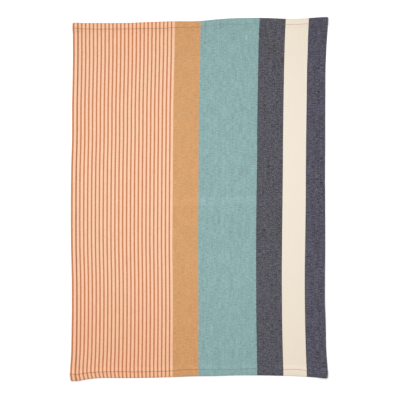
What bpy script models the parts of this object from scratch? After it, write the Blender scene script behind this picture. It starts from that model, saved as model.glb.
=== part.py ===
"""A striped cotton tea towel, lying flat with its right side up.

It is one piece of cloth. Its four edges are hems, turned under to the back and sewn down, so they are
thicker than the single layer between them. Metres, +Z up, +Y towards the towel's top end. The origin is
under the middle of the towel, on the surface that it lies on.
"""

import bpy
import numpy as np

MM = 0.001

# The finished towel, and its single layer of cloth
WIDTH = 500 * MM
LENGTH = 700 * MM
CLOTH = 1.1 * MM

# The mesh has close lines over the hems and the crease, and cells of about this size between them
CELL = 20 * MM

# A hem's section, in millimetres: how far in from the towel's edge, and how much thicker than one layer.
# It runs from the turned edge over the folded-in layers to the row of stitches, the inner fold and the
# single layer.
HEM = (
    ("inward", "thicker"),
    (0.0, 0.8),
    (2.0, 1.2),
    (9.5, 1.1),
    (12.1, 0.5),
    (14.0, 0.8),
    (19.5, 0.0),
)

# The long edges and three of the stripes' edges, in millimetres: at each level below the towel's top, how
# far each of them stands to the right of its place in a true rectangle.
SIDES = (
    ("down", "left", "teal", "navy", "dark", "right"),
    (0, 2.7, 3.6, 4.9, 5.2, 4.6),
    (20, 2.8, 3.5, 4.2, 4.3, 3.7),
    (40, 2.9, 3.0, 3.3, 3.5, 2.4),
    (60, 3.0, 2.8, 2.8, 3.0, 1.1),
    (98, 2.6, 1.9, 2.1, 1.8, -0.4),
    (157, 1.4, 0.6, 1.0, 1.0, -0.9),
    (236, 1.0, -0.1, 0.0, -0.1, -1.4),
    (275, -0.1, -0.3, 0.0, -0.5, -1.6),
    (354, -0.9, -0.7, -1.2, -0.9, -1.2),
    (432, -0.9, -1.2, -1.9, -1.9, -1.0),
    (511, 0.8, -0.9, -2.0, -2.9, -1.9),
    (550, 0.9, -0.7, -1.7, -2.7, -1.9),
    (589, 0.6, -0.6, -1.5, -2.2, -0.4),
    (648, -0.6, -0.8, -0.6, -0.7, 1.2),
    (688, -2.4, -0.2, 0.1, 0.8, 3.7),
    (700, -1.8, 0.2, 0.4, 1.2, 3.3),
)

# Where those five lines stand across the true rectangle
LINES = {"left": 0 * MM, "teal": 250.5 * MM, "navy": 365 * MM, "dark": 461.5 * MM, "right": WIDTH}

# The short edges, in millimetres: at each station from the towel's left, how far each of them stands
# above its place in a true rectangle.
ENDS = (
    ("across", "top", "bottom"),
    (0, -4.6, -8.0),
    (16, -4.8, -7.2),
    (28, -5.0, -4.9),
    (40, -5.0, -3.3),
    (60, -5.0, -2.4),
    (105, -4.8, -2.4),
    (152, -2.9, -2.0),
    (199, -1.6, -0.4),
    (246, -1.2, 1.7),
    (281, 2.1, 2.1),
    (317, 4.5, 2.8),
    (352, 5.0, 2.9),
    (388, 4.5, 2.5),
    (411, 3.1, 2.0),
    (435, 2.5, 1.4),
    (458, 4.4, 0.3),
    (482, 6.0, -1.6),
    (500, 6.5, -3.2),
)

# Where the cloth stands a little off the surface, in millimetres: the middle of each swell, half its
# extent across and along the towel, and its rise. Everywhere else the cloth lies flat.
SWELLS = (
    ("across", "down", "half_across", "half_down", "rise"),
    (30, 694, 26, 60, 1.6),
    (128, 568, 74, 96, 1.1),
    (0, 318, 54, 120, 1.5),
    (70, 96, 62, 80, 0.9),
    (262, 700, 84, 62, 1.5),
    (332, 150, 66, 92, 1.0),
    (430, 0, 44, 116, 1.9),
    (384, 506, 74, 92, 1.0),
    (500, 530, 50, 120, 1.7),
    (500, 246, 42, 90, 1.2),
)

# The crease that is left across the middle, where the towel was folded in half and pressed
CREASE_DOWN = 353 * MM
CREASE_HALF_WIDTH = 6 * MM
CREASE_RISE = 0.5 * MM

# The rounding of the towel's four corners, seen from above, and of its turned edges
CORNER = 3 * MM
ROUND = 0.45 * MM
ROUND_STEPS = 2

# The stripes from left to right: where each begins, and its colour as red, green and blue
STRIPES = (
    (0 * MM, (0.81, 0.46, 0.28)),
    (200 * MM, (0.68, 0.36, 0.16)),
    (250.5 * MM, (0.27, 0.43, 0.43)),
    (365 * MM, (0.097, 0.094, 0.115)),
    (416.5 * MM, (0.87, 0.79, 0.66)),
    (461.5 * MM, (0.097, 0.094, 0.115)),
)
ROUGHNESS = 0.9


def table(rows):
    """A table's columns by name, in metres."""
    names, *numbers = rows
    return dict(zip(names, np.array(numbers).T * MM))


def smooth(at, stations, values):
    """A smooth curve through the values at their stations: one cubic over each span, and no kinks."""
    slopes = np.gradient(values, stations)
    span = np.clip(np.searchsorted(stations, at) - 1, 0, len(stations) - 2)
    length = stations[span + 1] - stations[span]
    t = (at - stations[span]) / length
    from_start = (1 + 2 * t) * values[span] + t * length * slopes[span]
    from_end = (3 - 2 * t) * values[span + 1] - (1 - t) * length * slopes[span + 1]
    return (1 - t) ** 2 * from_start + t**2 * from_end


def lines_along(size, *extra):
    """The mesh's lines along one side: close in both hems, even between them, and at the extra places."""
    hem = table(HEM)["inward"]
    middle = np.linspace(hem[-1], size - hem[-1], round((size - 2 * hem[-1]) / CELL) + 1)
    inner = [line for line in middle[1:-1] if all(abs(line - other) > CELL / 2 for other in extra)]
    return np.array(sorted([*hem, *inner, *extra, *(size - hem)]))


def hem_at(place, size):
    """How much thicker the cloth is at a place along one side, for the hems at both its ends."""
    hem = table(HEM)
    return np.interp(np.minimum(place, size - place), hem["inward"], hem["thicker"])


def rounded(across, down):
    """A place on the true rectangle, drawn in towards the middle where it is near a corner."""
    near_side = np.clip(1 - np.minimum(across, WIDTH - across) / CORNER, 0, None)
    near_end = np.clip(1 - np.minimum(down, LENGTH - down) / CORNER, 0, None)
    pull = (1 - np.sqrt(0.5)) * CORNER * near_side * near_end
    return across + pull * np.sign(WIDTH / 2 - across), down + pull * np.sign(LENGTH / 2 - down)


def outline(across, down):
    """A place on the true rectangle, moved to where the uneven edges and stripes carry it."""
    across, down = rounded(across, down)
    sides = table(SIDES)
    ends = table(ENDS)
    places = list(LINES.values())
    drift = 0
    for name, near in zip(LINES, np.eye(len(LINES))):
        drift = drift + smooth(down, sides["down"], sides[name]) * np.interp(across, places, near)
    top = smooth(across, ends["across"], ends["top"])
    bottom = smooth(across, ends["across"], ends["bottom"])
    share = down / LENGTH
    return across + drift, -down + top * (1 - share) + bottom * share


def lift(across, down):
    """The underside's height: round swells that die out at their rims, and nothing between them."""
    swells = table(SWELLS)
    height = 0
    for x, y, half_x, half_y, rise in zip(*swells.values()):
        square = ((across - x) / half_x) ** 2 + ((down - y) / half_y) ** 2
        height = height + rise * np.clip(1 - square, 0, None) ** 2
    return height


def thickness(across, down):
    """The cloth's thickness: one layer, the hems' turned layers, and the pressed crease."""
    crease = CREASE_RISE * np.clip(1 - abs(down - CREASE_DOWN) / CREASE_HALF_WIDTH, 0, None)
    return CLOTH + hem_at(across, WIDTH) + hem_at(down, LENGTH) + crease


def striped_cotton():
    """The cloth's material: the stripes' ground colours across the towel."""
    material = bpy.data.materials.new("striped_cotton")
    material.use_nodes = True
    nodes = material.node_tree.nodes
    links = material.node_tree.links
    shader = nodes["Principled BSDF"]
    shader.inputs["Roughness"].default_value = ROUGHNESS
    place = nodes.new("ShaderNodeTexCoord")
    split = nodes.new("ShaderNodeSeparateXYZ")
    across = nodes.new("ShaderNodeMapRange")
    across.inputs["From Min"].default_value = -WIDTH / 2
    across.inputs["From Max"].default_value = WIDTH / 2
    ramp = nodes.new("ShaderNodeValToRGB")
    ramp.color_ramp.interpolation = "CONSTANT"
    stops = ramp.color_ramp.elements
    stops.remove(stops[1])
    stops[0].color = (*STRIPES[0][1], 1)
    for start, colour in STRIPES[1:]:
        stops.new(start / WIDTH).color = (*colour, 1)
    links.new(place.outputs["Object"], split.inputs["Vector"])
    links.new(split.outputs["X"], across.inputs["Value"])
    links.new(across.outputs["Result"], ramp.inputs["Fac"])
    links.new(ramp.outputs["Color"], shader.inputs["Base Color"])
    return material


def towel_cloth():
    """The towel: a grid that takes the underside's shape, thickened upwards, with its edges rounded."""
    columns = lines_along(WIDTH)
    crease = CREASE_DOWN + CREASE_HALF_WIDTH * np.array([-1, 0, 1])
    rows = lines_along(LENGTH, *crease)
    bpy.ops.mesh.primitive_grid_add(x_subdivisions=len(columns) - 1, y_subdivisions=len(rows) - 1, size=1)
    towel = bpy.context.object
    towel.name = towel.data.name = "towel_cloth"

    vertices = towel.data.vertices
    places = np.empty(len(vertices) * 3)
    vertices.foreach_get("co", places)
    places = places.reshape(-1, 3)
    across = np.interp(places[:, 0] + 0.5, np.linspace(0, 1, len(columns)), columns)
    down = np.interp(0.5 - places[:, 1], np.linspace(0, 1, len(rows)), rows)

    x, y = outline(across, down)
    middle_x = (x.min() + x.max()) / 2
    middle_y = (y.min() + y.max()) / 2
    shaped = np.column_stack([x - middle_x, y - middle_y, lift(across, down)])
    vertices.foreach_set("co", shaped.ravel())
    towel.data.update()

    thick = thickness(across, down)
    group = towel.vertex_groups.new(name="thickness")
    for index, share in enumerate(thick / thick.max()):
        group.add([index], share, "REPLACE")
    layer = towel.modifiers.new("cloth", "SOLIDIFY")
    layer.thickness = thick.max()
    layer.offset = 1
    layer.vertex_group = group.name
    edge = towel.modifiers.new("turned edge", "BEVEL")
    edge.width = ROUND
    edge.segments = ROUND_STEPS
    edge.limit_method = "ANGLE"

    towel.data.materials.append(striped_cotton())
    towel.data.shade_smooth()
    return towel


def build():
    """Clear the scene, and put the towel in a collection of its own."""
    for item in list(bpy.data.objects):
        bpy.data.objects.remove(item, do_unlink=True)
    collection = bpy.data.collections.new("tea_towel")
    bpy.context.scene.collection.children.link(collection)
    towel = towel_cloth()
    for holder in list(towel.users_collection):
        holder.objects.unlink(towel)
    collection.objects.link(towel)


build()
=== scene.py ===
"""The looks of a striped cotton tea towel, lying flat with its right side up.

Sizes are in millimetres, and become metres where they are handed to Blender. Places on the towel are given
as across, from its left edge, and down, from its top end. In the scene +X is to the right, +Y is towards
the top end, and the towel lies on z = 0.
"""

from math import pi

import bpy
import numpy as np
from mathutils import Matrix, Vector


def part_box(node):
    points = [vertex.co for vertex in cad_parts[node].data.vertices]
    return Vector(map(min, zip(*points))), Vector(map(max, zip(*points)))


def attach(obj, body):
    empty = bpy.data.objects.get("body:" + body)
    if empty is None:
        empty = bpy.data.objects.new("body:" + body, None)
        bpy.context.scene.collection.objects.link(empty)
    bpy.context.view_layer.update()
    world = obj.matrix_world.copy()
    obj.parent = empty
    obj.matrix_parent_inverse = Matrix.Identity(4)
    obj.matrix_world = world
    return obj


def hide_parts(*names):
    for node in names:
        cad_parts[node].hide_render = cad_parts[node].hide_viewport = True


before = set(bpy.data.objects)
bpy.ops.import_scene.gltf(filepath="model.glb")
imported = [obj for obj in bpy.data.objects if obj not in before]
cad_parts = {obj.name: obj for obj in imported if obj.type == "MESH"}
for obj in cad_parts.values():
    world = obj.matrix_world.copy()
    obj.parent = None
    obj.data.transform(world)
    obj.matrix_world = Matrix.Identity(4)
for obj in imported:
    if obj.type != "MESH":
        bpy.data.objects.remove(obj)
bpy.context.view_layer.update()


# 1. The cloth
# One cut of plain-woven cotton. Both side hems were turned under twice and sewn, then both end hems over
# them, so a hem has three layers and a corner nine. It was pressed, folded in half, and laid out again.

MM = 0.001
WIDTH = 500
LENGTH = 700
CLOTH = 0.42  # the thickness of one layer
GAP = 0.04  # the air between a hem's layers
ALLOWANCE = 22.5  # the cut cloth's length beyond each of the towel's edges, all of it inside the hem
CUT_LENGTH = LENGTH + 2 * ALLOWANCE
HEM = 13.3  # a hem's usual width, from the towel's edge in to its inner fold
HEM_SHIFT_FADES = 24  # past the hem, where its own width no longer moves the mesh's lines
FOLD_PAST_STITCH = 1.3  # from the row of stitches on to the inner fold
FALL_START = 0.6  # before the inner fold, where the cloth begins to come down beside a hem
FALL = 8.5  # over which it comes down
FLOAT = 0.07  # above the floor

# The mesh's lines: how many steps a hem's flap, inner fold and outer edge have, where lines run on the layer
# under a hem, as shares of it, and on the face, in from the towel's edge, and the cells between the hems
FLAP_STEPS = 2
FOLD_STEPS = 5
EDGE_STEPS = 6
UNDER_LINES = (0, 0.035, 0.07, 0.11, 0.2, 0.4, 0.6, 0.8)
FACE_LINES = (2.4, 3.6, 5.2, 7.4, 9.4, 10.8, 11.5, 12.0, 12.5, 13.3, 14.4, 16.0, 18.0, 20.4, 23.4)
CELL = 3.9

# The long edges and three of the stripes' edges: at each level below the top end, how far each of them
# stands to the right of its place in a true rectangle
SIDES = (
    ("down", "left", "teal", "navy", "dark", "right"),
    (0, 2.7, 3.6, 4.9, 5.2, 4.6),
    (20, 2.8, 3.5, 4.2, 4.3, 3.7),
    (40, 2.9, 3.0, 3.3, 3.5, 2.4),
    (60, 3.0, 2.8, 2.8, 3.0, 1.1),
    (98, 2.6, 1.9, 2.1, 1.8, -0.4),
    (157, 1.4, 0.6, 1.0, 1.0, -0.9),
    (236, 1.0, -0.1, 0.0, -0.1, -1.4),
    (275, -0.1, -0.3, 0.0, -0.5, -1.6),
    (354, -0.9, -0.7, -1.2, -0.9, -1.2),
    (432, -0.9, -1.2, -1.9, -1.9, -1.0),
    (511, 0.8, -0.9, -2.0, -2.9, -1.9),
    (550, 0.9, -0.7, -1.7, -2.7, -1.9),
    (589, 0.6, -0.6, -1.5, -2.2, -0.4),
    (648, -0.6, -0.8, -0.6, -0.7, 1.2),
    (688, -2.4, -0.2, 0.1, 0.8, 3.7),
    (700, -1.8, 0.2, 0.4, 1.2, 3.3),
)

# Where those five lines stand across the true rectangle
LINES = {"left": 0, "teal": 250.5, "navy": 365, "dark": 461.5, "right": WIDTH}

# The short edges: how far each stands above its place in a true rectangle
ENDS = (
    ("across", "top", "bottom"),
    (0, -4.6, -8.0),
    (16, -4.8, -7.2),
    (28, -5.0, -4.9),
    (40, -5.0, -3.3),
    (60, -5.0, -2.4),
    (105, -4.8, -2.4),
    (152, -2.9, -2.0),
    (199, -1.6, -0.4),
    (246, -1.2, 1.7),
    (281, 2.1, 2.1),
    (317, 4.5, 2.8),
    (352, 5.0, 2.9),
    (388, 4.5, 2.5),
    (411, 3.1, 2.0),
    (435, 2.5, 1.4),
    (458, 4.4, 0.3),
    (482, 6.0, -1.6),
    (500, 6.5, -3.2),
)

# How far the bottom hem was pushed to the right as it was sewn
PUSHED = (("across", "right"), (0, 0.9), (25, 2.3), (60, 1.8), (100, 0.6), (140, 0.0), (500, 0.0))

# How far in from its edge each hem's row of stitches runs, at places along the hem
STITCHES = {
    "top": (
        ("along", "depth"),
        (0, 11.0),
        (30, 12.1),
        (95, 12.1),
        (144, 12.8),
        (176, 13.6),
        (207, 12.3),
        (230, 12.2),
        (246, 11.4),
        (277, 10.6),
        (312, 12.2),
        (326, 12.7),
        (347, 11.4),
        (425, 11.0),
        (455, 11.1),
        (500, 11.8),
    ),
    "bottom": (
        ("along", "depth"),
        (0, 12.9),
        (48, 11.6),
        (90, 12.5),
        (155, 11.9),
        (200, 12.3),
        (221, 13.5),
        (245, 12.7),
        (270, 12.6),
        (290, 11.6),
        (330, 11.6),
        (351, 12.8),
        (430, 12.8),
        (447, 13.2),
        (459, 12.1),
        (500, 12.0),
    ),
    "left": (
        ("along", "depth"),
        (0, 11.6),
        (60, 10.8),
        (150, 11.2),
        (260, 10.6),
        (380, 11.1),
        (470, 10.7),
        (600, 11.3),
        (700, 11.9),
    ),
    "right": (
        ("along", "depth"),
        (0, 11.4),
        (80, 12.2),
        (190, 11.7),
        (290, 12.3),
        (410, 11.8),
        (520, 12.1),
        (620, 11.6),
        (700, 12.2),
    ),
}

# Where the cloth stands a little off the floor: the middle, half its extent and its rise
SWELLS = (
    ("across", "down", "half_across", "half_down", "rise"),
    (30, 694, 26, 60, 1.6),
    (128, 568, 74, 96, 1.1),
    (0, 318, 54, 120, 1.5),
    (70, 96, 62, 80, 0.9),
    (262, 700, 84, 62, 1.5),
    (332, 150, 66, 92, 1.0),
    (430, 0, 44, 116, 1.9),
    (384, 506, 74, 92, 1.0),
    (500, 530, 50, 120, 1.7),
    (500, 246, 42, 90, 1.2),
)

# The crease where the towel was folded in half: how far down it runs at the left and right edges, and its
# soft ridge, steeper on its upper side
CREASE_LEFT = 356.0
CREASE_RIGHT = 357.2
CREASE_ABOVE = 7
CREASE_BELOW = 12
CREASE_RISE = 0.2

# The small unevenness that washing leaves: how many waves, from which length to which, and their rise
COCKLES = 10
COCKLE_SHORT = 30
COCKLE_LONG = 90
COCKLE_RISE = 0.055
COCKLE_SEED = 11

# The ripples that a row of stitches draws into its hem: their lengths, how much they slant, their rise, and
# how far in from the towel's edge they are strongest and how soon they die out
RIPPLES = (17, 23.5, 37)
RIPPLE_SLANT = 0.5
RIPPLE_RISE = 0.16
RIPPLE_MIDDLE = 11
RIPPLE_REACH = 9
END_RIPPLE_SEED = 5
SIDE_RIPPLE_SEED = 6

CORNER = 2.4  # the rounding of the corners, seen from above
PINCH = 0.3  # how much a row of stitches squeezes the hem, as a share
PINCH_REACH = 0.75  # to either side of the row
CROWN = 0.07  # how much a hem plumps up between its edge and its stitches, as a share

# Painted shade darkens the cloth along the grooves of the rows of stitches and round the towel's folded
# edges. It is kept as two attributes of the mesh: one that shows on every stripe, and one that shows on
# the light ones.
MARKS = ("shade_on_all_stripes", "shade_on_light_stripes")
SIDE_ROW_SHADE = 0.12
EDGE_SHADE = 0.13
SIDE_ROW_LIGHT_STRIPE_SHADE = 0.36
END_ROW_LIGHT_STRIPE_SHADE = 0.34
EDGE_LIGHT_STRIPE_SHADE = 0.13
EDGE_SHADE_REACH = 1.2  # how far in from an edge the painted shade thins out


def table(rows):
    """A table's columns by name."""
    names, *numbers = rows
    return dict(zip(names, np.array(numbers, float).T))


def smooth(at, stations, values):
    """A smooth curve through the values at their stations: one cubic over each span, and no kinks."""
    slopes = np.gradient(values, stations)
    span = np.clip(np.searchsorted(stations, at) - 1, 0, len(stations) - 2)
    length = stations[span + 1] - stations[span]
    t = (at - stations[span]) / length
    from_start = (1 + 2 * t) * values[span] + t * length * slopes[span]
    from_end = (3 - 2 * t) * values[span + 1] - (1 - t) * length * slopes[span + 1]
    return (1 - t) ** 2 * from_start + t**2 * from_end


def ease(share):
    """0 at 0 and below, 1 at 1 and above, and level at both: 3 squares less 2 cubes of the share."""
    share = np.clip(share, 0, 1)
    return share**2 * (3 - 2 * share)


def hem_width(edge, along):
    """From the towel's edge in to a hem's inner fold: the depth of its stitches, and a little more."""
    stitches = table(STITCHES[edge])
    return smooth(along, stitches["along"], stitches["depth"]) + FOLD_PAST_STITCH


def nearer(place, size, along, first, second):
    """How far in a place is from the nearer of two opposite edges, and how wide that edge's hem is."""
    far = place > size / 2
    hem = np.where(far, hem_width(second, along), hem_width(first, along))
    return np.where(far, size - place, place), hem


def over_hem(inward, hem):
    """1 over a hem, easing to 0 where the cloth has come down again beside it."""
    return 1 - ease((inward - hem + FALL_START) / FALL)


def side_stack(across, down):
    """The thickness of what an end hem folds: one layer, or a side hem's three."""
    inward, hem = nearer(across, WIDTH, down, "left", "right")
    return CLOTH + 2 * (CLOTH + GAP) * over_hem(inward, hem)


def mesh_lines(size):
    """The mesh's lines along one side of the cut cloth, from raw edge to raw edge.

    Each has a stage in its hem: 0 to 1 along the flap, to 2 round the inner fold, to 3 along the under
    layer, to 4 round the towel's edge, and 5 on the face. With it come its distance in from the towel's
    nearer edge, for a line on the face, and whether that is the far edge.
    """
    turned = np.concatenate(
        [
            np.linspace(0, 1, FLAP_STEPS, endpoint=False),
            np.linspace(1, 2, FOLD_STEPS, endpoint=False),
            2 + np.array(UNDER_LINES),
            np.linspace(3, 4, EDGE_STEPS + 1),
        ]
    )
    face = np.array(FACE_LINES)
    stage = np.append(turned, np.full(len(face), 5))
    inward = np.append(np.zeros(len(turned)), face)
    middle = np.linspace(face[-1], size - face[-1], round((size - 2 * face[-1]) / CELL) + 1)[1:-1]
    stages = np.concatenate([stage, np.full(len(middle), 5), stage[::-1]])
    inwards = np.concatenate([inward, np.minimum(middle, size - middle), inward[::-1]])
    far = np.concatenate([np.zeros(len(stage)), middle > size / 2, np.ones(len(stage))]) > 0
    return stages, inwards, far


def hem_section(stage, inward, layer, hem):
    """A hem in section, at a stage of its making, for a thickness of what is folded and a hem's width.

    From the raw edge the cloth runs in along a flap, turns back in a half circle at the inner fold, runs
    out under the hem, turns up in a wider half circle round the towel's edge and comes in as the face.
    It gives, for the cloth's right side, the distance in from the towel's edge, the depth below the face,
    the same for a step out of the cloth, and the distance in on the flat cloth.
    """
    inner = layer + GAP / 2
    outer = 1.5 * layer + GAP
    under = hem - inner - outer
    flat_under = outer - pi * outer - under
    flat_flap = flat_under - pi * inner
    flap = ALLOWANCE + flat_flap
    share = stage % 1
    turn_in = pi / 2 - pi * share
    turn_out = -pi / 2 - pi * share
    shift = (hem - HEM) * np.interp(inward, (0, HEM, HEM + HEM_SHIFT_FADES), (0, 1, 0))
    parts = [stage < 1, stage < 2, stage < 3, stage < 4]
    ahead = [
        hem - inner - flap * (1 - share),
        hem - inner + inner * np.cos(turn_in),
        hem - inner - under * share,
        outer + outer * np.cos(turn_out),
    ]
    depth = [
        layer + GAP,
        2 * layer + 1.5 * GAP - inner * np.sin(turn_in),
        3 * layer + 2 * GAP,
        outer - outer * np.sin(turn_out),
    ]
    out_ahead = [0, np.cos(turn_in), 0, np.cos(turn_out)]
    out_depth = [-1, -np.sin(turn_in), 1, -np.sin(turn_out)]
    flat = [
        -ALLOWANCE + flap * share,
        flat_flap + pi * inner * share,
        flat_under + under * share,
        outer - pi * outer * (1 - share),
    ]
    edge = stage == 4
    face = np.where(edge, outer, inward + shift)
    return (
        np.select(parts, ahead, face),
        np.select(parts, depth, 0),
        np.select(parts, out_ahead, 0),
        np.select(parts, out_depth, -1),
        np.select(parts, flat, face),
    )


def groove(away):
    """A row of stitches' groove: a bell of the distance from it."""
    return np.exp(-((away / PINCH_REACH) ** 2))


def crown(inward, hem):
    """A hem's plump band: half a sine wave from its edge to its stitches."""
    return np.sin(pi * np.clip(inward / (hem - FOLD_PAST_STITCH), 0, 1))


def past_crease(across, down):
    """How far a place is below the crease, which is a straight line from the left edge to the right one."""
    return down - CREASE_LEFT - (CREASE_RIGHT - CREASE_LEFT) / WIDTH * across


def crease(across, down):
    """The pressed crease: a ridge that eases up to its crest and more gently down from it."""
    past = past_crease(across, down)
    return CREASE_RISE * np.where(past < 0, ease(1 + past / CREASE_ABOVE), ease(1 - past / CREASE_BELOW))


def swell(across, down):
    """The swells: each is its rise times the square of one less the squared distance, to its rim."""
    height = 0
    for x, y, half_x, half_y, rise in zip(*table(SWELLS).values()):
        square = ((across - x) / half_x) ** 2 + ((down - y) / half_y) ** 2
        height = height + rise * np.clip(1 - square, 0, None) ** 2
    return height


def cockle(across, down):
    """The small unevenness: sine waves, each in a direction of its own, with their troughs cut off flat."""
    dice = np.random.default_rng(COCKLE_SEED)
    height = 2
    for _ in range(COCKLES):
        heading = dice.uniform(0, pi)
        length = dice.uniform(COCKLE_SHORT, COCKLE_LONG)
        start = dice.uniform(0, 2 * pi)
        ahead = across * np.cos(heading) + down * np.sin(heading)
        height = height + length / COCKLE_LONG * np.sin(2 * pi * ahead / length + start)
    return COCKLE_RISE * np.clip(height, 0, None)


def ripple(along, inward, seed):
    """A hem's ripples: the mean of slanting sine waves, which dies out as a bell to both sides."""
    dice = np.random.default_rng(seed)
    wave = 0
    for length in RIPPLES:
        start = dice.uniform(0, 2 * pi)
        wave = wave + np.sin(2 * pi * (along + RIPPLE_SLANT * inward) / length + start) / len(RIPPLES)
    return RIPPLE_RISE * (1 + wave) * np.exp(-(((inward - RIPPLE_MIDDLE) / RIPPLE_REACH) ** 2))


def outline(across, down):
    """A place on the true rectangle, moved to where the uneven edges and stripes carry it.

    Near a corner it is first drawn in. It moves sideways with the lines to its left and right, and in the
    bottom hem with that hem's push, and it moves along with both ends, by its share of the way to each.
    """
    near_side = np.clip(1 - np.minimum(across, WIDTH - across) / CORNER, 0, None)
    near_end = np.clip(1 - np.minimum(down, LENGTH - down) / CORNER, 0, None)
    pull = (1 - np.sqrt(0.5)) * CORNER * near_side * near_end
    across = across + pull * np.sign(WIDTH / 2 - across)
    down = down + pull * np.sign(LENGTH / 2 - down)
    sides = table(SIDES)
    ends = table(ENDS)
    pushed = table(PUSHED)
    places = list(LINES.values())
    drift = 0
    for name, near in zip(LINES, np.eye(len(LINES))):
        drift = drift + smooth(down, sides["down"], sides[name]) * np.interp(across, places, near)
    past_stitches = np.clip(1 - (LENGTH - down) / (HEM - FOLD_PAST_STITCH), 0, 1)
    drift = drift + past_stitches * smooth(across, pushed["across"], pushed["right"])
    top = smooth(across, ends["across"], ends["top"])
    bottom = smooth(across, ends["across"], ends["bottom"])
    share = down / LENGTH
    return across + drift, -down + top * (1 - share) + bottom * share


def laid_out(across, down, depth):
    """A place on the folded towel, at a depth below its face, laid on the floor: x, y and height.

    The face stands as high as what lies under it. Rows of stitches squeeze the layers together, and the
    hems plump up beside them. Then the swells, the crease and the small unevenness lift all the layers.
    """
    in_side, side_hem = nearer(across, WIDTH, down, "left", "right")
    in_end, end_hem = nearer(down, LENGTH, across, "top", "bottom")
    stack = side_stack(across, down)
    face = stack + 2 * (stack + GAP) * over_hem(in_end, end_hem)
    pinch = groove(in_side - side_hem + FOLD_PAST_STITCH) + groove(in_end - end_hem + FOLD_PAST_STITCH)
    plump = crown(in_side, side_hem) + crown(in_end, end_hem)
    height = face / 2 + (face / 2 - depth) * (1 - PINCH * pinch + CROWN * plump)
    height = height + swell(across, down) + crease(across, down) + cockle(across, down)
    height = height + ripple(across, in_end, END_RIPPLE_SEED) + ripple(down, in_side, SIDE_RIPPLE_SEED)
    x, y = outline(across, down)
    return x, y, height + FLOAT


def groove_and_edge_shade(across, down):
    """How much painted shade there is, on every stripe and on the light ones only: a bell along each row,
    and a decay in from each edge.
    """
    in_side, side_hem = nearer(across, WIDTH, down, "left", "right")
    in_end, end_hem = nearer(down, LENGTH, across, "top", "bottom")
    side_row = groove(in_side - side_hem + FOLD_PAST_STITCH)
    end_row = groove(in_end - end_hem + FOLD_PAST_STITCH)
    edges = np.clip(np.exp(-in_side / EDGE_SHADE_REACH) + np.exp(-in_end / EDGE_SHADE_REACH), 0, 1)
    shade_on_all_stripes = SIDE_ROW_SHADE * side_row + EDGE_SHADE * edges
    shade_on_light_stripes = SIDE_ROW_LIGHT_STRIPE_SHADE * side_row + END_ROW_LIGHT_STRIPE_SHADE * end_row + EDGE_LIGHT_STRIPE_SHADE * edges
    return shade_on_all_stripes, shade_on_light_stripes


def towel_places(below):
    """The cloth's places at a depth below its right side, and where they are on the flat cloth.

    The sides are folded first. What that gives is then folded at the ends, as one thicker cloth.
    """
    side_stage, side_in, side_far = mesh_lines(WIDTH)
    end_stage, end_in, end_far = (line[:, None] for line in mesh_lines(LENGTH))
    level = np.where(end_far, LENGTH - end_in, end_in)
    hem = np.where(side_far, hem_width("right", level), hem_width("left", level))
    inward, depth, out_in, out_depth, flat_across = hem_section(side_stage, side_in, CLOTH, hem)
    inward = inward - below * out_in
    depth = depth - below * out_depth
    across = np.where(side_far, WIDTH - inward, inward)
    flat_across = np.where(side_far, WIDTH - flat_across, flat_across)

    hem = np.where(end_far, hem_width("bottom", across), hem_width("top", across))
    stack = side_stack(across, level)
    inward, fold_depth, out_in, out_depth, flat_down = hem_section(end_stage, end_in, stack, hem)
    down = inward - depth * out_in
    down = np.where(end_far, LENGTH - down, down)
    flat_down = np.where(end_far, LENGTH - flat_down, flat_down)
    places = laid_out(across, down, fold_depth - depth * out_depth)
    return places, flat_across, flat_down, groove_and_edge_shade(across, down)


front, flat_across, flat_down, shares_of_shade = towel_places(0)
back = towel_places(CLOTH)[0]
towel_middle = [(place.min() + place.max()) / 2 * MM for place in front[:2]]
frame_middle = np.mean(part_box("towel_cloth"), axis=0)


def placed(x, y, height):
    """Points in metres, with the towel's outline centred as it is in the frame."""
    shift = frame_middle[:2] - towel_middle
    return np.stack([x, y, height], axis=-1) * MM + [*shift, 0]


RIM_ANGLE = pi / 3  # the least angle that stays sharp


def new_piece(name, points, faces, uv, material):
    """A smooth mesh object of quads and triangles, whose square rims stay sharp.

    Its UV map has a place for each corner of each face, in the faces' order.
    """
    mesh = bpy.data.meshes.new(name)
    mesh.vertices.add(len(points))
    mesh.vertices.foreach_set("co", np.asarray(points, np.float32).ravel())
    corners = np.concatenate([face.ravel() for face in faces])
    counts = np.concatenate([np.full(len(face), face.shape[1]) for face in faces])
    mesh.loops.add(len(corners))
    mesh.loops.foreach_set("vertex_index", corners.astype(np.int32))
    mesh.polygons.add(len(counts))
    mesh.polygons.foreach_set("loop_start", (np.cumsum(counts) - counts).astype(np.int32))
    layer = mesh.uv_layers.new(name="OFBake")
    layer.uv.foreach_set("vector", np.asarray(uv, np.float32).ravel())
    mesh.update(calc_edges=True)
    mesh.validate()
    mesh.shade_smooth()
    mesh.set_sharp_from_angle(angle=RIM_ANGLE)
    mesh.materials.append(material)
    piece = bpy.data.objects.new(name, mesh)
    bpy.context.scene.collection.objects.link(piece)
    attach(piece, "root")
    return piece


# The weave. The warp runs down the towel and makes the stripes, and the weft is undyed and shows only as
# flecks between the warp threads. A pinstripe is 5 threads in every 13.
REPEAT = 13
LINE_START = 2
LINE_THREADS = 5
WARP = 7.643 / REPEAT  # from thread to thread
WEFT = 0.56
WARP_START = -0.075  # where thread 0 begins, across the towel

# The UV map is as wide as this many warp threads, so a picture baked at that width has one thread to a pixel
# and no false streaks. Thread 0 begins this far in. The quarter of a thread makes the middle half of every
# pixel run from a thread's seam to its middle.
MAP_THREADS = 1024
MAP_START = 39.25

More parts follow.
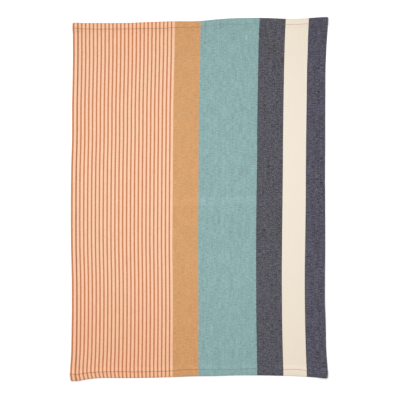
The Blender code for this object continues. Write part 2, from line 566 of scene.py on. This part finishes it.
# The threads' colours, in 8-bit sRGB. Then the stripes: each one's first thread, its colour, how uneven
# its dye is, how much lighter it has become along the crease, and how much it shows the painted shade of the
# grooves and edges and the warmer tint towards the ends, which is most on a light stripe. The first stripe
# also has the lines.
UNDYED = (219, 209, 193)
TERRACOTTA = (175, 106, 63)
STRIPES = (
    ("first_thread", "colour", "uneven", "faded", "shade_and_tint"),
    (0, (223, 179, 149), 0.25, 0.006, 1),
    (340, (186, 136, 86), 0.45, 0.05, 0.6),
    (426, (116, 150, 150), 0.7, 0.075, 0),
    (621, (56, 57, 69), 2.1, 0.07, 0),
    (708, UNDYED, 0.05, 0, 0.4),
    (785, (54, 54, 72), 2.4, 0.03, 0),
)

# Three kinds of unevenness, each a soft noise over two values: for the threads' thickness, which thread it
# is and how far along it, and for patches, the place. The table gives how far apart the noise's features are
# in each value, how fine it is, and how much it changes the shade, the flecks' size and the height.
UNEVENNESS = (
    ("kind", "across", "down", "detail", "shade", "fleck_size", "height"),
    ("warp_thickness", 1 / 0.34, 24, 2, 0.75, -1.4, 0.07),
    ("weft_thickness", 8, 1 / 0.28, 1, 0.65, 1.6, 0.09),
    ("patches", 2.8, 3.2, 2, 0.25, 2.4, 0.05),
)
DYE_LOTS = 0.12  # how much two warp threads may differ in shade
WEAR = 0.25  # how much wear, which is broader noise, changes the shade
WEAR_ACROSS = 14
WEAR_DOWN = 24
BOW = 2  # how far a weft thread wanders up and down
BOW_ACROSS = 90
BOW_DOWN = 45

# A fleck of weft: half the width and height of an oval in threads, its area as a multiple of that oval's,
# how sharp its rim is, and how much of the warp's colour it hides
FLECK_ACROSS = 0.25
FLECK_DOWN = 0.32
FLECK_SIZE = 1.1
FLECK_RIM = 3
FLECK_HIDES = 0.36

# The weave's relief, and its parts as shares of that: how round a warp thread is, how deep it dips under the
# weft, how high a fleck's rim stands, and its middle above that. Then the bump's strength.
RELIEF = 0.11
ROUNDNESS = 0.9
DIP = 0.4
FLECK_BASE = 0.45
FLECK_RISE = 0.4
BUMP = 0.6

SEAM_SHADE = 0.3  # how much darker painted shade makes the seam between two threads, where they shade each other
SEAM_POWER = 5  # the higher, the narrower the seam
ROUGHNESS = 0.92
FLECK_SMOOTHER = 0.1  # how much less rough the weft is

# Fading along the crease: half the width of the lighter band, and the width of the rim where it ends
FADED_HALF = 9.5
FADED_RIM = 4

# Use has faded the lower part a little. The light stripes are warmer and darker towards both ends. For each
# of these, where it begins and over what length it grows. Then what the warmer tint and the painted shade
# take from red, green and blue, where a negative share is what the tint adds to the red.
WORN = 0.045
WORN_FROM = 435
WORN_OVER = 45
YELLOW_BELOW = 475
YELLOW_BELOW_OVER = 185
YELLOW_ABOVE = 95
YELLOW_ABOVE_OVER = 140
YELLOW_TAKES = (-0.025, 0.05, 0.1)
SHADE_TAKES = (0.7, 1, 1.35)


def paint(red, green, blue):
    """An 8-bit sRGB colour as the linear one that a shader takes."""
    share = np.array([red, green, blue]) / 255
    linear = np.where(share < 0.04045, share / 12.92, ((share + 0.055) / 1.055) ** 2.4)
    return (*linear.tolist(), 1)


def by_math(operation, swapped=False):
    """A method that joins a Field and another value in one Math node."""

    def method(self, other=0):
        pair = (other, self) if swapped else (self, other)
        return self.node("ShaderNodeMath", {"operation": operation}, enumerate(pair))

    return method


class Field:
    """What varies over a material, held as the node socket that gives it."""

    def __init__(self, tree, socket=None):
        self.tree = tree
        self.socket = socket

    def node(self, kind, settings=(), inputs=(), output=0):
        """A new node: its settings are made first, then its sockets get their values or links."""
        node = self.tree.nodes.new(kind)
        for name, value in dict(settings).items():
            setattr(node, name, value)
        for name, value in dict(inputs).items():
            if isinstance(value, Field):
                self.tree.links.new(value.socket, node.inputs[name])
            else:
                node.inputs[name].default_value = value
        return Field(self.tree, node.outputs[output])

    __add__ = __radd__ = by_math("ADD")
    __sub__ = by_math("SUBTRACT")
    __rsub__ = by_math("SUBTRACT", swapped=True)
    __mul__ = __rmul__ = by_math("MULTIPLY")
    __truediv__ = by_math("DIVIDE")
    __pow__ = by_math("POWER")
    __mod__ = by_math("FLOORED_MODULO")
    __lt__ = by_math("LESS_THAN")
    __gt__ = by_math("GREATER_THAN")
    __abs__ = by_math("ABSOLUTE")
    floor = by_math("FLOOR")
    cosine = by_math("COSINE")

    def clamped(self):
        """The value, held between 0 and 1."""
        return self.node("ShaderNodeClamp", inputs={0: self})

    def mix(self, first, second):
        """A colour between two others: the first where this value is 0, and the second where it is 1."""
        return self.node("ShaderNodeMix", {"data_type": "RGBA"}, {0: self, 6: first, 7: second}, 2)

    def noise(self, x, y, detail=1):
        """Soft noise between 0 and 1 over two values, with features about 1 of them wide."""
        place = self.node("ShaderNodeCombineXYZ", inputs={0: x, 1: y})
        settings = {"noise_dimensions": "2D", "normalize": True}
        return self.node("ShaderNodeTexNoise", settings, {"Vector": place, "Scale": 1, "Detail": detail})

    def lot(self):
        """A number between 0 and 1 drawn by lot for each value."""
        return self.node("ShaderNodeTexWhiteNoise", {"noise_dimensions": "1D"}, {"W": self})

    def map_places(self):
        """The two coordinates of the piece's own UV map."""
        place = self.node("ShaderNodeUVMap", {"uv_map": "OFBake"})
        return [self.node("ShaderNodeSeparateXYZ", inputs={0: place}, output=axis) for axis in (0, 1)]


def new_material(name, **constants):
    """A material, its Principled shader with constants on its sockets, and a Field to grow nodes from."""
    material = bpy.data.materials.new(name)
    material.use_nodes = True
    shader = material.node_tree.nodes["Principled BSDF"]
    for socket, value in constants.items():
        shader.inputs[socket.replace("_", " ")].default_value = value
    return material, shader, Field(material.node_tree)


def yarn_dyed_cotton():
    """The woven cloth, worked out on its UV map, which holds the flat cut from raw edge to raw edge.

    Each warp thread is a rounded rib. Where the weft goes over it, in every second cell of the weave, the
    weft shows as an oval fleck. Threads are thicker and thinner along their length, which makes the
    flecks larger and smaller in streaks, and each thread took the dye a little differently.
    """
    material, shader, field = new_material(
        "striped_cotton",
        Specular_IOR_Level=0.25,
        Sheen_Weight=0.12,
        Sheen_Roughness=0.5,
    )
    u, v = field.map_places()
    thread = u * MAP_THREADS - MAP_START
    across = thread * WARP
    down = (1 - v) * CUT_LENGTH - ALLOWANCE
    down = down + (field.noise(across / BOW_ACROSS, down / BOW_DOWN) - 0.5) * BOW
    pick = down / WEFT
    warp = thread.floor()
    weft = pick.floor()
    beside_warp = thread - warp - 0.5
    beside_weft = pick - weft - 0.5
    weft_over = (warp + weft) % 2

    places = {"warp_thickness": (warp, down), "weft_thickness": (across, weft), "patches": (across, down)}
    shade = DYE_LOTS * (warp.lot() - 0.5)
    fleck_size = FLECK_SIZE
    unevenness = 0
    for kind, reach_across, reach_down, detail, to_shade, to_flecks, to_height in UNEVENNESS[1:]:
        x, y = places[kind]
        noise = field.noise(x / reach_across, y / reach_down, detail) - 0.5
        shade = shade + to_shade * noise
        fleck_size = fleck_size + to_flecks * noise
        unevenness = unevenness + to_height * noise
    shade = shade + WEAR * (field.noise(across / WEAR_ACROSS, down / WEAR_DOWN) - 0.5)
    shade = shade + WORN * ((down - WORN_FROM) / WORN_OVER).clamped()

    first_threads, dyes, uneven, faded, shade_and_tint = zip(*STRIPES[1:])
    later = [warp > first_thread - 0.5 for first_thread in first_threads[1:]]

    def by_stripe(numbers):
        """Each stripe's number: the first one's, and a step at every later stripe's first thread."""
        return sum((step * here for step, here in zip(np.diff(numbers).tolist(), later)), numbers[0])

    in_line = (warp - LINE_START) % REPEAT < LINE_THREADS - 0.5
    colour = in_line.mix(paint(*dyes[0]), paint(*TERRACOTTA))
    for dye, here in zip(dyes[1:], later):
        colour = here.mix(colour, paint(*dye))
    crease_nearness = ((FADED_HALF - abs(past_crease(across, down))) / FADED_RIM).clamped()
    tone = 1 + by_stripe(uneven) * shade + by_stripe(faded) * crease_nearness
    # Painted shade in the seam between two warp threads
    tone = tone * (1 - SEAM_SHADE * (2 * abs(beside_warp)) ** SEAM_POWER)
    shaded = field.node("ShaderNodeVectorMath", {"operation": "SCALE"}, {0: colour, "Scale": tone})

    # The light stripes grow warmer and darker towards both ends.
    yellow_below = ((down - YELLOW_BELOW) / YELLOW_BELOW_OVER).clamped()
    yellow_above = ((YELLOW_ABOVE - down) / YELLOW_ABOVE_OVER).clamped()
    showing = by_stripe(shade_and_tint)
    yellow = showing * (yellow_below + yellow_above)
    # Painted shade in the stitches' grooves and at the folded edges, on every stripe and more on the light
    # ones. It takes more blue than red, as shade in coloured cloth does.
    shade_on_all_stripes, shade_on_light_stripes = (field.node("ShaderNodeAttribute", {"attribute_name": name}, output=2) for name in MARKS)
    painted_shade = shade_on_all_stripes + showing * shade_on_light_stripes
    takes = zip(SHADE_TAKES, YELLOW_TAKES)
    channels = [1 - of_shade * painted_shade - of_yellow * yellow for of_shade, of_yellow in takes]
    left_over = field.node("ShaderNodeCombineXYZ", inputs=enumerate(channels))
    shaded = field.node("ShaderNodeVectorMath", {"operation": "MULTIPLY"}, {0: shaded, 1: left_over})

    away = (beside_warp / FLECK_ACROSS) ** 2 + (beside_weft / FLECK_DOWN) ** 2
    fleck = weft_over * ((fleck_size - away) * FLECK_RIM).clamped()
    flecked = (FLECK_HIDES * fleck).mix(shaded, paint(*UNDYED))
    material.node_tree.links.new(flecked.socket, shader.inputs["Base Color"])

    rib = (1 - (2 * beside_warp) ** 2 * ROUNDNESS).clamped() ** 0.5
    dip = weft_over * (0.5 + 0.5 * (beside_weft * 2 * pi).cosine())
    oval = (1 - (beside_weft / 0.5) ** 2).clamped() ** 0.5
    threads = rib * (1 - DIP * dip) * (1 - fleck) + fleck * (FLECK_BASE + FLECK_RISE * oval)
    height = threads * RELIEF + unevenness
    bump_values = {"Strength": BUMP, "Distance": MM, "Filter Width": 1, "Height": height}
    bump = field.node("ShaderNodeBump", inputs=bump_values)
    material.node_tree.links.new(bump.socket, shader.inputs["Normal"])
    rough = ROUGHNESS - FLECK_SMOOTHER * fleck
    material.node_tree.links.new(rough.socket, shader.inputs["Roughness"])
    return material


rows, columns = front[0].shape
index = np.arange(rows * columns).reshape(rows, columns)
face = np.stack([index[:-1, :-1], index[1:, :-1], index[1:, 1:], index[:-1, 1:]], axis=-1).reshape(-1, 4)
rim = np.concatenate([index[:-1, 0], index[-1, :-1], index[:0:-1, -1], index[0, ::-1]])
rim_next = rim[1:]
rim = rim[:-1]
edge = np.stack([rim_next, rim, rim + index.size, rim_next + index.size], axis=-1)
flat_u = ((flat_across - WARP_START) / WARP + MAP_START) / MAP_THREADS
flat_v = 1 - (flat_down + ALLOWANCE) / CUT_LENGTH
flat_uv = np.stack([flat_u, flat_v], axis=-1).reshape(-1, 2)
both_faces = [face, face[:, ::-1] + index.size, edge]
corners = np.concatenate([shape.ravel() for shape in both_faces])
cloth = new_piece(
    "woven_cloth",
    np.concatenate([placed(*front).reshape(-1, 3), placed(*back).reshape(-1, 3)]),
    both_faces,
    flat_uv[corners % index.size],
    yarn_dyed_cotton(),
)
# The painted shade of the grooves and edges, the same on both sides of the cloth
for name, shares in zip(MARKS, shares_of_shade):
    attribute = cloth.data.attributes.new(name, "FLOAT", "POINT")
    attribute.data.foreach_set("value", np.tile(shares.ravel(), 2))
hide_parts("towel_cloth")


# 2. The stitching
# Each hem is held by one row of lockstitch in two-ply cotton thread, brown at the ends and a darker one at
# the sides. One thread lies on the face and one on the back, and both dive into the same needle holes.

STITCH = 2.7  # from needle hole to needle hole
HOLE = 0.04  # half a needle hole, as a share of a stitch
ROW_END = 1.2  # at the least, from the towel's edge to a row's last hole
THREAD = 0.44  # its thickness
THREAD_COLOURS = {"end_thread": (113, 94, 78), "side_thread": (70, 62, 66)}  # in 8-bit sRGB
ARCH_RISE = 0.75  # a stitch's rise from hole to crest, and how deep its ends lie, in thicknesses of thread
ARCH_SINK = 0.42
BLUNTNESS = 6  # the higher, the more suddenly a stitch is drawn in to its tips
RINGS = 7  # along a stitch, the first and last of which are points
SIDES_ROUND = 6
TIP = 0.05  # a tip's share of the stitch's map

# The plies that wind round each other: how many there are, how many bands they make along a stitch, what is
# left of their colour in the painted shade where they meet, how narrow that line of shade is, and their
# relief and its strength
PLIES = 2
BANDS = 7
MEETING_SHADE = 0.55
MEETING_POWER = 4
PLY_RELIEF = 0.05
PLY_BUMP = 0.8


def sewing_thread(name, thread_colour):
    """Two-ply thread: bands that wind round it, with painted shade where the plies meet, on a map of its own
    length.
    """
    material, shader, field = new_material(name, Roughness=0.6, Specular_IOR_Level=0.35, Sheen_Weight=0.1)
    along, round_it = field.map_places()
    ply = (2 * pi * (BANDS * along + PLIES * round_it)).cosine()
    meeting = (0.5 - 0.5 * ply) ** MEETING_POWER
    # the painted shade in the groove where the plies meet
    colour = meeting.mix(paint(*thread_colour), paint(*(MEETING_SHADE * np.array(thread_colour))))
    material.node_tree.links.new(colour.socket, shader.inputs["Base Color"])
    bump_values = {"Strength": PLY_BUMP, "Distance": PLY_RELIEF * MM, "Height": ply}
    bump = field.node("ShaderNodeBump", inputs=bump_values)
    material.node_tree.links.new(bump.socket, shader.inputs["Normal"])
    return material


def stitch_row(edge, on_face):
    """The centre lines of one row's stitches on one side of the cloth: each an arch between two holes.

    On the back, a side hem's row runs along the underside of the hem, and then along what the end hem has
    turned over. The stitch that the end hem's fold hides is left out.
    """
    long_hem = edge in ("left", "right")
    size = LENGTH if long_hem else WIDTH
    count = int((size - 2 * ROW_END) / STITCH)
    start = (size - count * STITCH) / 2 + STITCH * np.arange(count)[:, None]
    share = np.linspace(0, 1, RINGS)[None, :]
    along = start + STITCH * (HOLE + (1 - 2 * HOLE) * share)
    inward = hem_width(edge, along) - FOLD_PAST_STITCH
    arch = THREAD * (ARCH_RISE * np.sin(pi * share) - ARCH_SINK)
    if long_hem:
        across = inward if edge == "left" else WIDTH - inward
        down = along
    else:
        across = along
        down = inward if edge == "top" else LENGTH - inward
    in_end, end_hem = nearer(down, LENGTH, across, "top", "bottom")
    stack = side_stack(across, down)
    if on_face:
        return placed(*laid_out(across, down, -arch))
    turned_over = in_end < end_hem
    whole_hem = stack + 2 * (stack + GAP) * over_hem(in_end, end_hem)
    centres = placed(*laid_out(across, down, np.where(turned_over, whole_hem, stack) + arch))
    return centres[turned_over.all(axis=1) | ~turned_over.any(axis=1)]


def map_corners(*corners):
    """The map's places for faces whose corners are given as shares of the length and of the way round."""
    places = [np.stack(np.broadcast_arrays(*corner), axis=-1) for corner in corners]
    return np.stack(places, axis=-2).reshape(-1, 2)


def stitching(edge, material):
    """One hem's stitches on both sides: round tubes along their centre lines, drawn in to a point."""
    centres = np.concatenate([stitch_row(edge, True), stitch_row(edge, False)])
    count = len(centres)
    ahead = np.gradient(centres, axis=1)
    ahead /= np.linalg.norm(ahead, axis=-1, keepdims=True)
    beside = np.cross(ahead, [0, 0, 1])
    beside /= np.linalg.norm(beside, axis=-1, keepdims=True)
    above = np.cross(beside, ahead)
    angle = np.linspace(0, 2 * pi, SIDES_ROUND, endpoint=False)[:, None]
    share = np.linspace(0, 1, RINGS)
    radius = THREAD * MM / 2 * np.sqrt(1 - (2 * share[1:-1] - 1) ** BLUNTNESS)
    round_it = beside[:, 1:-1, None] * np.cos(angle) + above[:, 1:-1, None] * np.sin(angle)
    tubes = centres[:, 1:-1, None] + radius[None, :, None, None] * round_it
    tips = centres[:, [0, -1]]
    points = np.concatenate([tubes.reshape(count, -1, 3), tips], axis=1)

    rings = RINGS - 2
    ring = np.arange(rings * SIDES_ROUND).reshape(rings, SIDES_ROUND)
    turned = np.roll(ring, -1, axis=1)
    wall = np.stack([ring[:-1], turned[:-1], turned[1:], ring[1:]], axis=-1).reshape(-1, 4)
    near_point = np.full(SIDES_ROUND, rings * SIDES_ROUND)
    near_tip = np.stack([turned[0], ring[0], near_point], axis=-1)
    far_tip = np.stack([ring[-1], turned[-1], near_point + 1], axis=-1)
    step = len(points[0]) * np.arange(count)[:, None, None]
    faces = [(shape[None] + step).reshape(-1, shape.shape[1]) for shape in (wall, near_tip, far_tip)]

    low = np.arange(SIDES_ROUND) / SIDES_ROUND
    high = low + 1 / SIDES_ROUND
    middle = (low + high) / 2
    near = np.linspace(TIP, 1 - TIP, rings)[:-1, None]
    far = np.linspace(TIP, 1 - TIP, rings)[1:, None]
    wall_uv = map_corners((near, low), (near, high), (far, high), (far, low))
    near_uv = map_corners((TIP, high), (TIP, low), (0, middle))
    far_uv = map_corners((1 - TIP, low), (1 - TIP, high), (1, middle))
    uv = np.concatenate([np.tile(shape, (count, 1)) for shape in (wall_uv, near_uv, far_uv)])
    return new_piece("stitching_" + edge, points.reshape(-1, 3), faces, uv, material)


end_thread, side_thread = (sewing_thread(*named) for named in THREAD_COLOURS.items())
rows_of_stitches = [stitching(edge, end_thread) for edge in ("top", "bottom")]
rows_of_stitches += [stitching(edge, side_thread) for edge in ("left", "right")]


# 3. The studio
# A wide white floor under a white sky that is brighter towards the towel's top end, with one soft light
# overhead, a little to the left.

FLOOR_SIZE = 60000
FLOOR_SHADE = 0.95
LIGHT_PLACE = (-120, 80, 750)
LIGHT_SIZE = 400
LIGHT_POWER = 2.8
SKY = 0.973  # its brightness overhead
SKY_TILT = 0.6  # how much brighter it is at the top end's horizon, as a share, and darker at the other's
LENS = 100
SENSOR = 36
VIEW_WIDTH = 786  # what the picture's width takes in, on the floor
VIEW_CENTRE = (1.87, -1.98)

bpy.ops.mesh.primitive_plane_add(size=FLOOR_SIZE * MM)
floor = bpy.context.object
floor.name = floor.data.name = "floor"
floor_paint, _, _ = new_material(
    "floor_paint",
    Base_Color=(FLOOR_SHADE, FLOOR_SHADE, FLOOR_SHADE, 1),
    Roughness=0.8,
    Specular_IOR_Level=0.1,
)
floor.data.materials.append(floor_paint)

world = bpy.data.worlds.new("studio")
bpy.context.scene.world = world
world.use_nodes = True
direction = Field(world.node_tree).node("ShaderNodeTexCoord")
towards_top = direction.node("ShaderNodeSeparateXYZ", inputs={0: direction}, output=1)
brightness = SKY * (1 + SKY_TILT * towards_top)
background = world.node_tree.nodes["Background"]
background.inputs["Color"].default_value = (1, 1, 1, 1)
world.node_tree.links.new(brightness.socket, background.inputs["Strength"])
bpy.context.scene.view_settings.view_transform = "Standard"

light = bpy.data.objects.new("softbox", bpy.data.lights.new("softbox", "AREA"))
light.data.size = LIGHT_SIZE * MM
light.data.energy = LIGHT_POWER
light.location = [place * MM for place in LIGHT_PLACE]
bpy.context.scene.collection.objects.link(light)

camera = bpy.data.objects.new("camera", bpy.data.cameras.new("camera"))
camera.data.lens = LENS
camera.data.sensor_width = SENSOR
camera.location = (VIEW_CENTRE[0] * MM, VIEW_CENTRE[1] * MM, VIEW_WIDTH * MM * LENS / SENSOR)
bpy.context.scene.collection.objects.link(camera)
bpy.context.scene.camera = camera
